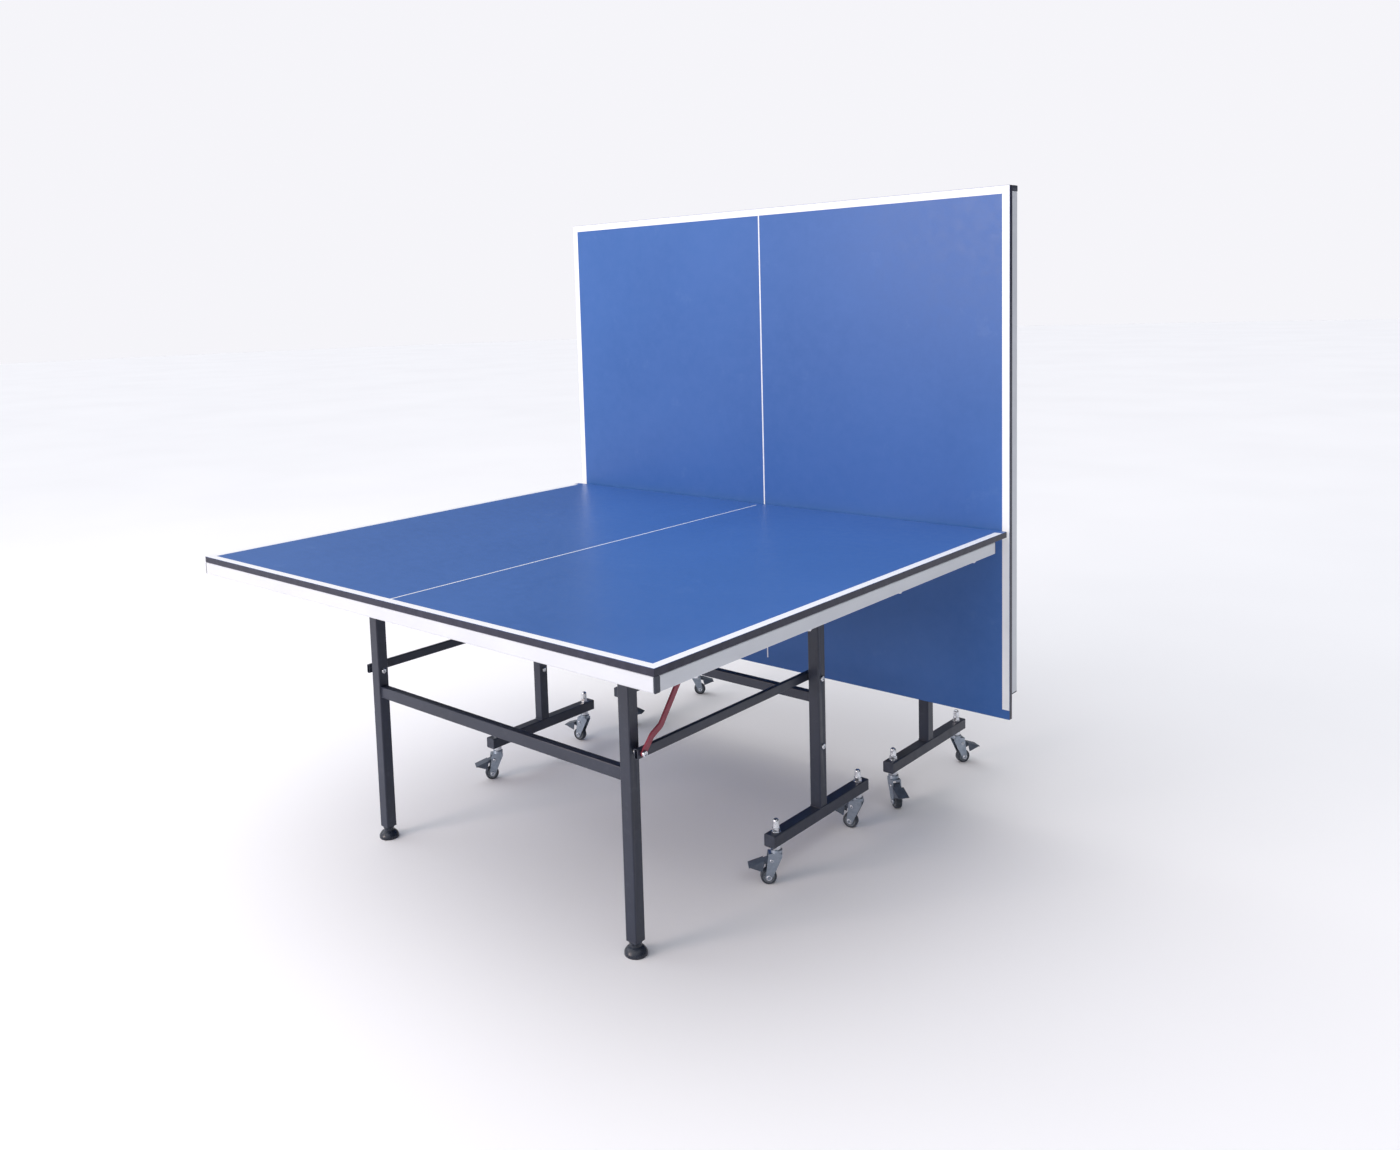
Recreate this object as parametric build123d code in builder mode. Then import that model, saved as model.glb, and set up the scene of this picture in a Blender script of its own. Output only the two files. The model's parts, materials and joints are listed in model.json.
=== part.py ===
"""Folding ping pong table: two independent halves, each on its own wheeled trolley.

Frame: millimetres, +Z up, X across the table, Y along it, origin on the floor under the middle
of the whole table. The near half lies flat for play. The far half stands upright behind the net
line as a rebound board.

Each half is drawn in its own directions: x to the right of a player who faces the net, y towards
the net and z up. Its top, its legs, its links and its hook have a plane each, with the origin on
the pin that carries them, so that one set of functions draws both halves at any fold.
"""
import os
from math import atan2, cos, degrees, hypot, radians, sin

from build123d import *

# Table top
half_length = 1370.0
table_width = 1525.0
playing_height = 760.0
board_thickness = 15.0
board_edge_round = 1.0
apron_height = 30.0
apron_depth = 15.0
apron_start = 65.0  # bare board edge beside the net, where a net post is clamped
rail_width = 30.0
rail_height = 20.0
rail_from_pin = 45.0  # middle of a cross rail, from the pins that it stiffens

# Pins and stance
pin_depth = 47.0  # top pins below the playing surface
upright_net_edge = 260.0  # height of the net edge when a half stands upright
upright_gap = 17.0  # from the net line to the playing surface of the upright half
post_set_back = 14.0  # middle of a post or a leg, from the pin above it
lower_pin_height = 450.0
leg_from_net = 1084.0
leg_spacing = 868.0

# Steel tube
tube = 30.0
tube_wall = 1.5
tube_corner = 3.0
leg_bar_height = 30.0
leg_bar_depth = 20.0
leg_bar_level = 395.0
trolley_bar_height = 25.0
trolley_bar_depth = 20.0
trolley_bar_level = 400.0
link_height = 22.0
link_thickness = 10.0
link_corner = 2.0
link_end = 14.0  # link beyond the middle of its pin
tube_top_below_pin = 20.0

# Pin plates, brackets and fasteners
plate = 3.0
plate_round = 13.0
plate_length = 45.0  # down the tube, from the pin
bracket_round = 12.0
bracket_length = 54.0
pin_r = 4.0
pin_head_r = 7.0
rivet_head = 2.5
dome_head = 4.0
pin_fit = 0.08  # radial clearance of a pin that something turns on
open_pin_fit = 0.4  # radial clearance at the links' outer end
side_gap = 0.5  # between the faces of two plates that turn past each other
foot_gap = 1.5  # between a levelling foot and the link that it folds past
post_gap = 3.5  # between a link and the pin plate that it folds past
spacer_r = 8.0
spacer_gap = 0.3
fixing_bolt_level = 280.0

# Trolley and casters
rail_foot_length = 420.0
rail_foot_level = 97.0
plug_flange = 3.0
plug_depth = 12.0
plug_fit = 0.1
king_pin_offset = 182.0  # caster king pin, from the middle of the foot rail
stem_r = 5.0
stem_collar_r = 11.0
stem_collar_height = 13.0
king_pin_r = 4.0
king_head_r = 7.0
king_head = 2.5
cap_nut_flats = 17.0
cap_nut_hex = 10.0
cap_nut_dome_r = 7.8
cap_nut_height = 32.0
cap_nut_flat_r = 1.0
cap_nut_spare = 1.0  # bore beyond the end of the stem
stem_in_dome = 4.0
wheel_r = 19.0
wheel_width = 17.0
wheel_side_gap = 1.5
tyre_shoulder = 3.0
tyre_depth = 6.0
hub_r = 7.0
hub_dish = 2.5
trail = 20.0
fork_plate = 2.5
fork_top = 3.0
fork_skirt = 8.0
fork_eye_r = 8.0
fork_set = 4.0  # middle of the fork's top plate, ahead of the king pin
race_r = 16.0
race_height = 7.0
race_gap = 0.3
axle_r = 3.0
axle_head_r = 6.0
axle_head = 2.0
pedal_pin_r = 2.5
pedal_head_r = 4.0
pedal_pin = (13.0, 60.0)  # ahead of the king pin, above the floor
pedal_tip = (66.0, 46.0)
pedal_boss_r = 5.5
pedal_tip_r = 1.5
pedal_flange = 2.0
pedal_tread_start = 31.0
pedal_flange_low = (35.0, 34.0)

# Levelling feet
foot_r = 25.0
foot_height = 31.0
foot_rim_height = 7.0
foot_bell_height = 20.0
foot_bell_bulge = 1.7
foot_neck_r = 13.0
foot_collar_r = 14.5
foot_collar_height = 3.0
foot_edge = 1.0
foot_stem_r = 5.0
foot_stem_length = 26.0
foot_stem_fit = 0.06
insert_flange = 2.0
insert_depth = 20.0

# Lock hook: its bends, towards the net and up from the lower leg pin
hook_bends = [(28.0, 30.0), (57.0, 44.0), (213.0, 240.0)]
hook_width = 14.0
hook_sheet = 5.0
hook_corner = 12.0
keeper_from_tip = 16.0
keeper_seat = 0.5
keeper_plate = 3.0
keeper_round = 9.0
keeper_length = 27.0
keeper_head_r = 6.0
keeper_side_gap = 1.2

# Sizes that follow from the ones above
pin_height = playing_height - pin_depth
pin_from_net = pin_height - upright_net_edge
board_under = pin_depth - board_thickness  # underside of the board, above the top pins
board_middle = pin_from_net - half_length / 2
lower_drop = pin_height - lower_pin_height
link_length = leg_from_net - pin_from_net - post_set_back
leg_x = leg_spacing / 2
link_x = leg_x + foot_r + foot_gap + link_thickness / 2
post_x = link_x + link_thickness / 2 + post_gap + plate + tube / 2
hook_x = link_x + link_thickness / 2 + side_gap
rail_foot_top = rail_foot_level + tube
race_top = rail_foot_level - stem_collar_height - race_gap
fork_half_width = wheel_width / 2 + wheel_side_gap + fork_plate
pedal_width = 2 * (fork_half_width + side_gap + pedal_flange)
hook_turn = 90 + degrees(atan2(hook_bends[-1][1], hook_bends[-1][0]))

# Casters: yaw of each fork, in degrees from the half's own +x, by side and by end of the rail
near_yaws = {
    ("left", "net"): -168.0,
    ("left", "end"): -122.0,
    ("right", "net"): -166.0,
    ("right", "end"): -138.0,
}
far_yaws = {
    ("left", "net"): 143.0,
    ("left", "end"): -123.0,
    ("right", "net"): -160.0,
    ("right", "end"): -135.0,
}


def pedal_reach(yaw):
    """How far a brake pedal reaches past its king pin, away from the net."""
    turn = radians(yaw)
    return pedal_width / 2 * abs(cos(turn)) - pedal_tip[0] * sin(turn)


# The origin lies midway between the near end and the farthest caster pedal.
farthest_pedal = max(pedal_reach(yaw) for yaw in far_yaws.values())
far_reach = upright_gap + pin_depth + post_set_back + king_pin_offset + farthest_pedal
net_line = (half_length - far_reach) / 2


class Half:
    """One half of the table: its name, its caster yaws and the planes that its pieces lie on."""

    def __init__(self, name, towards_net, pin_y, fold, yaws):
        self.name = name
        self.yaws = yaws
        self.net = Vector(0, towards_net, 0)
        self.right = Vector(towards_net, 0, 0)
        self.trolley = self.tilted(Vector(0, pin_y, 0), 0)
        self.top = self.tilted(self.trolley.from_local_coords(Vector(0, 0, pin_height)), fold)
        self.leg = self.tilted(self.top.from_local_coords(Vector(0, -link_length, 0)), 0)
        lower_pin = Vector(0, -post_set_back, lower_pin_height)
        self.link = self.tilted(self.trolley.from_local_coords(lower_pin), fold)
        leg_pin = self.leg.from_local_coords(Vector(0, -post_set_back, -lower_drop))
        self.hook = self.tilted(leg_pin, fold * hook_turn / 90)

    def tilted(self, origin, angle):
        normal = self.net * sin(radians(angle)) + Vector(0, 0, 1) * cos(radians(angle))
        return Plane(origin=origin, x_dir=self.right, z_dir=normal)


def plan(base, z):
    """Plane for a sketch in x and y; a positive extrusion rises."""
    return base.offset(z)


def side(base, x):
    """Plane for a sketch in y and z; a positive extrusion goes to the right."""
    return Plane(origin=base.from_local_coords(Vector(x, 0, 0)), x_dir=base.y_dir, z_dir=base.x_dir)


def front(base, y):
    """Plane for a sketch in x and z; a positive extrusion goes away from the net."""
    return Plane(origin=base.from_local_coords(Vector(0, y, 0)), x_dir=base.x_dir, z_dir=-base.y_dir)


def turned(plane):
    """The plane seen from behind: its x is reversed and an extrusion goes the other way."""
    return Plane(origin=plane.origin, x_dir=-plane.x_dir, z_dir=-plane.z_dir)


def save(piece, name):
    piece.label = name
    export_step(piece, f"parts/{name}.step")


def save_group(pieces, name):
    save(Compound(children=pieces), name)


def box_tube(plane, centre, size, length, corner=tube_corner, wall=tube_wall):
    """Length of rounded rectangular tube, standing on a plane."""
    with BuildPart() as piece:
        with BuildSketch(plane):
            with Locations(centre):
                RectangleRounded(size[0], size[1], corner)
                RectangleRounded(size[0] - 2 * wall, size[1] - 2 * wall, corner - wall, mode=Mode.SUBTRACT)
        extrude(amount=length)
    return piece.part


def drilled(piece, plane, centres, radius, depth):
    """The piece with straight holes, sunk from a plane."""
    with BuildPart() as done:
        add(piece)
        with BuildSketch(plane):
            with Locations(*centres):
                Circle(radius)
        extrude(amount=depth, mode=Mode.SUBTRACT)
    return done.part


def rod(plane, centre, steps):
    """Round pin of stacked lengths, each with its own radius: (radius, length), ..."""
    with BuildPart() as piece:
        start = 0.0
        for radius, length in steps:
            with BuildSketch(plane.offset(start)):
                with Locations(centre):
                    Circle(radius)
            extrude(amount=length)
            start += length
    return piece.part


def plug(plane, centre, size, corner, flange, depth):
    """Moulded plug: a flange on the plane and a body that fills the tube behind it."""
    with BuildPart() as piece:
        with BuildSketch(plane):
            with Locations(centre):
                RectangleRounded(size[0], size[1], corner)
        extrude(amount=-flange)
        with BuildSketch(plane):
            with Locations(centre):
                inset = 2 * (tube_wall + plug_fit)
                RectangleRounded(size[0] - inset, size[1] - inset, corner - tube_wall)
        extrude(amount=depth)
    return piece.part


# Top

def board(half):
    with BuildPart() as piece:
        with BuildSketch(plan(half.top, board_under)):
            with Locations((0, board_middle)):
                Rectangle(table_width, half_length)
        extrude(amount=board_thickness)
        fillet(piece.edges(), board_edge_round)
    save(piece.part, f"{half.name}_board")


def aprons(half):
    base = half.top
    far_edge = pin_from_net - half_length
    level = board_under - apron_height / 2
    end_y = far_edge + apron_depth / 2
    end_length = table_width - 2 * plug_flange
    size = (apron_depth, apron_height)
    left_end = side(base, -end_length / 2)
    right_end = turned(side(base, end_length / 2))
    save(box_tube(left_end, (end_y, level), size, end_length), f"{half.name}_end_apron")

    side_x = (table_width - apron_depth) / 2
    net_end = front(base, pin_from_net - apron_start - plug_flange)
    side_length = half_length - apron_start - plug_flange - apron_depth
    sides = [box_tube(net_end, (x, level), size, side_length) for x in (-side_x, side_x)]
    save_group(sides, f"{half.name}_side_aprons")

    mouths = [
        (net_end, (-side_x, level)),
        (net_end, (side_x, level)),
        (left_end, (end_y, level)),
        (right_end, (-end_y, level)),
    ]
    plugs = [plug(plane, centre, size, tube_corner, plug_flange, plug_depth) for plane, centre in mouths]
    save_group(plugs, f"{half.name}_apron_plugs")


def cross_rails(half):
    length = table_width - 2 * apron_depth
    level = board_under - rail_height / 2
    rails = [
        box_tube(side(half.top, -length / 2), (y - rail_from_pin, level), (rail_width, rail_height), length)
        for y in (0.0, -link_length)
    ]
    save_group(rails, f"{half.name}_cross_rails")


def pivot_bracket(base, x, y):
    """Folded bracket under the board: a base and two ears that turn on a top pin."""
    ear_gap = tube - 2 * (side_gap + plate)
    with BuildPart() as piece:
        for ear_x in (x - ear_gap / 2 - plate, x + ear_gap / 2):
            with BuildSketch(side(base, ear_x)):
                with Locations((y, 0)):
                    Circle(bracket_round)
                with Locations((y, board_under - plate / 2)):
                    Rectangle(bracket_length, plate)
                make_hull()
                with Locations((y, 0)):
                    Circle(pin_r + pin_fit, mode=Mode.SUBTRACT)
            extrude(amount=plate)
        with BuildSketch(plan(base, board_under - plate)):
            with Locations((x, y)):
                Rectangle(tube - 2 * side_gap, bracket_length)
        extrude(amount=plate)
    return piece.part


def hook_tip_point():
    """Middle of the keeper pin, from the lower leg pin, towards the net and up."""
    (from_y, from_z), (tip_y, tip_z) = hook_bends[-2:]
    run = hypot(tip_y - from_y, tip_z - from_z)
    along = ((tip_y - from_y) / run, (tip_z - from_z) / run)
    off = hook_width / 2 + keeper_seat
    y = tip_y - keeper_from_tip * along[0] - off * along[1]
    z = tip_z - keeper_from_tip * along[1] + off * along[0]
    return y, z


def keeper(half):
    """Folded keeper under the board and the pin that the hook seats on."""
    rel_y, rel_z = hook_tip_point()
    y = rel_y - link_length - post_set_back
    z = rel_z - lower_drop
    inner = hook_x - keeper_side_gap
    outer = hook_x + hook_sheet + keeper_side_gap
    span = outer - inner + 2 * keeper_plate
    with BuildPart() as bracket:
        for ear_x in (inner - keeper_plate, outer):
            with BuildSketch(side(half.top, ear_x)):
                with Locations((y, z)):
                    Circle(keeper_round)
                with Locations((y, board_under - keeper_plate / 2)):
                    Rectangle(keeper_length, keeper_plate)
                make_hull()
                with Locations((y, z)):
                    Circle(pin_r + pin_fit, mode=Mode.SUBTRACT)
            extrude(amount=keeper_plate)
        with BuildSketch(plan(half.top, board_under - keeper_plate)):
            with Locations(((inner + outer) / 2, y)):
                Rectangle(span, keeper_length)
        extrude(amount=keeper_plate)
    steps = [(keeper_head_r, rivet_head), (pin_r, span)]
    pin = rod(side(half.top, inner - keeper_plate - rivet_head), (y, z), steps)
    return [bracket.part, pin]


def brackets(half):
    pieces = [
        pivot_bracket(half.top, x, y)
        for x, y in ((-post_x, 0.0), (post_x, 0.0), (-leg_x, -link_length), (leg_x, -link_length))
    ]
    save_group(pieces + keeper(half), f"{half.name}_brackets")


# Posts and legs

def pin_plate(base, x, pin_z):
    """Plate welded to one face of a post or a leg, which carries the top pin ahead of the tube."""
    with BuildPart() as piece:
        with BuildSketch(side(base, x)):
            with Locations((0, pin_z)):
                Circle(plate_round)
            with Locations((-post_set_back, pin_z - (plate_length + tube_top_below_pin) / 2)):
                Rectangle(tube - 2 * tube_corner, plate_length - tube_top_below_pin)
            make_hull()
            with Locations((0, pin_z)):
                Circle(pin_r + pin_fit, mode=Mode.SUBTRACT)
        extrude(amount=plate)
    return piece.part


def upright(base, x, foot_z, pin_z, low_pins):
    """Post or leg: the tube, cross-drilled at its lower pins, and its two pin plates."""
    length = pin_z - tube_top_below_pin - foot_z
    stem = box_tube(plan(base, foot_z), (x, -post_set_back), (tube, tube), length)
    holes = [(-post_set_back, z) for z in low_pins]
    stem = drilled(stem, side(base, x - tube), holes, pin_r + pin_fit, 2 * tube)
    plates = [pin_plate(base, face, pin_z) for face in (x - tube / 2 - plate, x + tube / 2)]
    return [stem] + plates


def top_pin(base, x, z):
    """Riveted pin through two pin plates and the bracket ears between them."""
    inner = tube + 2 * plate + spacer_gap
    start = -tube / 2 - plate - rivet_head - spacer_gap / 2
    if x > 0:
        steps = [(pin_head_r, rivet_head), (pin_r, inner), (pin_head_r, dome_head)]
        return rod(side(base, x + start), (0, z), steps)
    steps = [(pin_head_r, dome_head), (pin_r, inner), (pin_head_r, rivet_head)]
    return rod(side(base, x + start + rivet_head - dome_head), (0, z), steps)


def cross_bolt(base, start_x, end_x, centre):
    """Bolt with a domed head at each end, its shank from start_x to end_x."""
    length = abs(end_x - start_x)
    first = min(start_x, end_x)
    steps = [(pin_head_r, dome_head), (pin_r, length), (pin_head_r, dome_head)]
    return rod(side(base, first - dome_head), centre, steps)


def spacer(base, start_x, end_x, centre):
    """Round spacer on a pin, from start_x to end_x."""
    with BuildPart() as piece:
        with BuildSketch(side(base, min(start_x, end_x))):
            with Locations(centre):
                Circle(spacer_r)
                Circle(pin_r + pin_fit, mode=Mode.SUBTRACT)
        extrude(amount=abs(end_x - start_x))
    return piece.part


def trolley(half):
    base = half.trolley
    level = rail_foot_level + tube / 2
    foot_length = rail_foot_length - 2 * plug_flange
    net_end = front(base, -post_set_back + foot_length / 2)
    far_end = turned(front(base, -post_set_back - foot_length / 2))
    pieces = []
    for x in (-post_x, post_x):
        pieces += upright(base, x, rail_foot_top, pin_height, [lower_pin_height, fixing_bolt_level])
        foot = box_tube(net_end, (x, level), (tube, tube), foot_length)
        stems = [(x, -post_set_back + end * king_pin_offset) for end in (-1, 1)]
        pieces.append(drilled(foot, plan(base, rail_foot_level), stems, stem_r + pin_fit, tube))
    bar_length = 2 * post_x - tube
    bar_size = (trolley_bar_depth, trolley_bar_height)
    bar_centre = (-post_set_back, trolley_bar_level)
    pieces.append(box_tube(side(base, -bar_length / 2), bar_centre, bar_size, bar_length))
    save_group(pieces, f"{half.name}_trolley_frame")

    caps = []
    for x in (-post_x, post_x):
        for plane, centre in ((net_end, (x, level)), (far_end, (-x, level))):
            caps.append(plug(plane, centre, (tube, tube), tube_corner, plug_flange, plug_depth))
    save_group(caps, f"{half.name}_foot_rail_plugs")

    bolts = []
    link_in = link_x - link_thickness / 2 - spacer_gap
    link_out = link_x + link_thickness / 2 + spacer_gap
    post_in = post_x - tube / 2
    post_out = post_x + tube / 2
    lower = (-post_set_back, lower_pin_height)
    fixing = (-post_set_back, fixing_bolt_level)
    for sign in (-1, 1):
        bolts.append(top_pin(base, sign * post_x, pin_height))
        bolts.append(cross_bolt(base, sign * link_in, sign * post_out, lower))
        bolts.append(cross_bolt(base, sign * post_in, sign * post_out, fixing))
        bolts.append(spacer(base, sign * link_out, sign * post_in, lower))
    save_group(bolts, f"{half.name}_trolley_bolts")


def legs(half):
    base = half.leg
    floor = -pin_height
    tube_foot = floor + foot_height + insert_flange
    lower = (-post_set_back, -lower_drop)
    pieces = []
    for x in (-leg_x, leg_x):
        pieces += upright(base, x, tube_foot, 0.0, [-lower_drop])
    bar_length = leg_spacing - tube
    bar_centre = (-post_set_back, leg_bar_level - pin_height)
    bar_size = (leg_bar_depth, leg_bar_height)
    pieces.append(box_tube(side(base, -bar_length / 2), bar_centre, bar_size, bar_length))
    save_group(pieces, f"{half.name}_leg_frame")

    bolts = []
    leg_in = leg_x - tube / 2
    leg_out = leg_x + tube / 2
    link_in = link_x - link_thickness / 2 - spacer_gap
    link_out = link_x + link_thickness / 2 + spacer_gap
    hook_out = hook_x + hook_sheet + side_gap
    for sign, end_x in ((-1, link_out), (1, hook_out)):
        bolts.append(top_pin(base, sign * leg_x, 0.0))
        bolts.append(cross_bolt(base, sign * leg_in, sign * end_x, lower))
        bolts.append(spacer(base, sign * leg_out, sign * link_in, lower))
    save_group(bolts, f"{half.name}_leg_bolts")

    inserts = []
    for x in (-leg_x, leg_x):
        centre = (x, -post_set_back)
        insert = plug(plan(base, tube_foot), centre, (tube, tube), tube_corner, insert_flange, insert_depth)
        hole_depth = foot_height + insert_flange + insert_depth
        inserts.append(drilled(insert, plan(base, floor), [centre], foot_stem_r + foot_stem_fit, hole_depth))
    save_group(inserts, f"{half.name}_leg_inserts")

    for name, x in (("left", -leg_x), ("right", leg_x)):
        levelling_foot(half, name, x, floor)


def levelling_foot(half, name, x, floor):
    """Bell-shaped foot with a collar under the leg and a stem up into the insert."""
    start = half.leg.from_local_coords(Vector(x, -post_set_back, floor))
    profile = Plane(origin=start, x_dir=half.leg.x_dir, z_dir=-half.leg.y_dir)
    top = foot_height - spacer_gap
    neck_top = top - foot_collar_height
    rim = (foot_r, foot_rim_height)
    neck = (foot_neck_r, foot_bell_height)
    with BuildPart() as piece:
        with BuildSketch(profile):
            with BuildLine():
                Polyline((0, 0), (foot_r - foot_edge, 0), (foot_r, foot_edge), rim)
                SagittaArc(rim, neck, -foot_bell_bulge)
                Polyline(
                    neck,
                    (foot_neck_r, neck_top - foot_edge),
                    (foot_collar_r, neck_top),
                    (foot_collar_r, top),
                    (foot_stem_r, top),
                    (foot_stem_r, top + foot_stem_length),
                    (0, top + foot_stem_length),
                    (0, 0),
                )
            make_face()
        revolve(axis=Axis(profile.origin, profile.y_dir))
    save(piece.part, f"{half.name}_{name}_foot")


def links(half):
    for name, sign in (("left", -1), ("right", 1)):
        x = sign * link_x
        size = (link_thickness, link_height)
        bar = box_tube(front(half.link, link_end), (x, 0), size, link_length + 2 * link_end, link_corner)
        near_hole = side(half.link, x - link_thickness)
        bar = drilled(bar, near_hole, [(0, 0)], pin_r + pin_fit, 2 * link_thickness)
        bar = drilled(bar, near_hole, [(-link_length, 0)], pin_r + open_pin_fit, 2 * link_thickness)
        save(bar, f"{half.name}_{name}_link")


def lock_hook(half):
    """Bent flat bar from the lower leg pin up to the keeper, with a round seat in its upper edge."""
    points = [(0.0, 0.0)] + hook_bends
    seat = hook_tip_point()
    with BuildPart() as piece:
        with BuildSketch(side(half.hook, hook_x)):
            with BuildLine():
                FilletPolyline(*points, radius=hook_corner)
            trace(line_width=hook_width)
            with Locations((0, 0), points[-1]):
                Circle(hook_width / 2)
            with Locations((0, 0)):
                Circle(pin_r + pin_fit, mode=Mode.SUBTRACT)
            with Locations(seat):
                Circle(pin_r + keeper_seat, mode=Mode.SUBTRACT)
        extrude(amount=hook_sheet)
    save(piece.part, f"{half.name}_lock_hook")


# Casters

def caster_places(half):
    """Side, end, and the plane on the floor under each king pin, with x along the fork's trail."""
    for (side_name, end_name), yaw in half.yaws.items():
        x = post_x if side_name == "right" else -post_x
        y = -post_set_back + (king_pin_offset if end_name == "net" else -king_pin_offset)
        origin = half.trolley.from_local_coords(Vector(x, y, 0))
        direction = half.right * cos(radians(yaw)) + half.net * sin(radians(yaw))
        yield side_name, end_name, Plane(origin=origin, x_dir=direction, z_dir=(0, 0, 1))


def stem(base):
    """Threaded stem through the foot rail, its collar and the king pin that the fork turns on."""
    under_plate = race_top - race_height - fork_top - race_gap
    steps = [
        (king_head_r, king_head),
        (king_pin_r, rail_foot_level - stem_collar_height - under_plate),
        (stem_collar_r, stem_collar_height),
        (stem_r, tube + cap_nut_hex + stem_in_dome),
    ]
    return rod(base.offset(under_plate - king_head), (0, 0), steps)


def cap_nut(base):
    """Tall domed nut over the end of a caster stem."""
    seat = base.offset(rail_foot_top)
    with BuildPart() as piece:
        with BuildSketch(seat):
            RegularPolygon(cap_nut_flats / 2, 6, major_radius=False)
        extrude(amount=cap_nut_hex)
        with BuildSketch(seat.offset(cap_nut_hex)):
            Circle(cap_nut_dome_r)
        extrude(amount=cap_nut_height - cap_nut_hex)
        fillet(piece.faces().sort_by(Axis.Z)[-1].edges(), cap_nut_dome_r - cap_nut_flat_r)
        with BuildSketch(seat):
            Circle(stem_r + pin_fit)
        extrude(amount=cap_nut_hex + stem_in_dome + cap_nut_spare, mode=Mode.SUBTRACT)
    return piece.part


def fork(base):
    """Caster fork: a top plate with its race, two side plates, the axle and the pedal pin."""
    plate_top = race_top - race_height
    with BuildPart() as piece:
        for y in (fork_plate - fork_half_width, fork_half_width):
            with BuildSketch(front(base, y)):
                with Locations((trail, wheel_r)):
                    Circle(fork_eye_r)
                with Locations((fork_set, plate_top - fork_skirt / 2)):
                    Rectangle(2 * race_r, fork_skirt)
                make_hull()
                with Locations((trail, wheel_r)):
                    Circle(axle_r + pin_fit, mode=Mode.SUBTRACT)
                with Locations(pedal_pin):
                    Circle(pedal_pin_r + pin_fit, mode=Mode.SUBTRACT)
            extrude(amount=fork_plate)
        with BuildSketch(base.offset(plate_top - fork_top)):
            with Locations((fork_set, 0)):
                Rectangle(2 * race_r, 2 * fork_half_width)
        extrude(amount=fork_top)
        with BuildSketch(base.offset(plate_top)):
            Circle(race_r - fork_plate)
        extrude(amount=race_height)
        with BuildSketch(base.offset(plate_top - fork_top)):
            Circle(king_pin_r + pin_fit)
        extrude(amount=fork_top + race_height, mode=Mode.SUBTRACT)
    first = front(base, fork_half_width + axle_head)
    axle_steps = [(axle_head_r, axle_head), (axle_r, 2 * fork_half_width), (axle_head_r, axle_head)]
    axle = rod(first, (trail, wheel_r), axle_steps)
    pin_steps = [(pedal_head_r, axle_head), (pedal_pin_r, 2 * fork_half_width), (pedal_head_r, axle_head)]
    pedal_axle = rod(first, pedal_pin, pin_steps)
    return [piece.part, axle, pedal_axle]


def wheel(base):
    """Solid wheel with a round-shouldered tyre and a dished hub on each side."""
    with BuildPart() as piece:
        with BuildSketch(front(base, wheel_width / 2)):
            with Locations((trail, wheel_r)):
                Circle(wheel_r)
        extrude(amount=wheel_width)
        rims = piece.edges().filter_by(GeomType.CIRCLE)
        fillet(rims, tyre_shoulder)
        for y in (wheel_width / 2, hub_dish - wheel_width / 2):
            with BuildSketch(front(base, y)):
                with Locations((trail, wheel_r)):
                    Circle(wheel_r - tyre_depth)
                    Circle(hub_r, mode=Mode.SUBTRACT)
            extrude(amount=hub_dish, mode=Mode.SUBTRACT)
        with BuildSketch(front(base, wheel_width / 2)):
            with Locations((trail, wheel_r)):
                Circle(axle_r + pin_fit)
        extrude(amount=wheel_width, mode=Mode.SUBTRACT)
    return piece.part


def pedal(base):
    """Brake pedal: a neck between the fork plates, then a wide tread with a flange down each side."""
    neck = wheel_width + 2 * wheel_side_gap - 2 * side_gap
    with BuildPart() as piece:
        with BuildSketch(front(base, pedal_width / 2)):
            with Locations(pedal_pin):
                Circle(pedal_boss_r)
            with Locations(pedal_tip):
                Circle(pedal_tip_r)
            make_hull()
        extrude(amount=pedal_width)
        for y in (pedal_width / 2, -neck / 2):
            with BuildSketch(front(base, y)):
                Rectangle(pedal_tread_start, rail_foot_level, align=Align.MIN)
            extrude(amount=(pedal_width - neck) / 2, mode=Mode.SUBTRACT)
        root = (pedal_tread_start, pedal_pin[1] - pedal_boss_r)
        for y in (pedal_width / 2, pedal_flange - pedal_width / 2):
            with BuildSketch(front(base, y)):
                with BuildLine():
                    Polyline(root, pedal_tip, pedal_flange_low, close=True)
                make_face()
            extrude(amount=pedal_flange)
        with BuildSketch(front(base, pedal_width / 2)):
            with Locations(pedal_pin):
                Circle(pedal_pin_r + pin_fit)
        extrude(amount=pedal_width, mode=Mode.SUBTRACT)
    return piece.part


def casters(half):
    stems = []
    for side_name, end_name, base in caster_places(half):
        name = f"{half.name}_{side_name}_{end_name}"
        save_group(fork(base), f"{name}_fork")
        save(wheel(base), f"{name}_wheel")
        save(pedal(base), f"{name}_pedal")
        stems += [stem(base), cap_nut(base)]
    save_group(stems, f"{half.name}_caster_stems")


os.makedirs("parts", exist_ok=True)
near = Half("near", 1, net_line - pin_from_net, 0, near_yaws)
far = Half("far", -1, net_line + upright_gap + pin_depth, 90, far_yaws)
for half in (near, far):
    board(half)
    aprons(half)
    cross_rails(half)
    brackets(half)
    trolley(half)
    legs(half)
    links(half)
    lock_hook(half)
    casters(half)
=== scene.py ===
"""Looks for the folding ping pong table: court lines, welds, screws, caster wheels and finishes.

Metres, in the frame of the CAD model: +Z up, X across the table, Y along it. The near half lies
flat and the far half stands upright behind the net line.
"""
import json
from math import pi, radians

import bmesh
import bpy
from mathutils import Matrix, Vector


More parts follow.
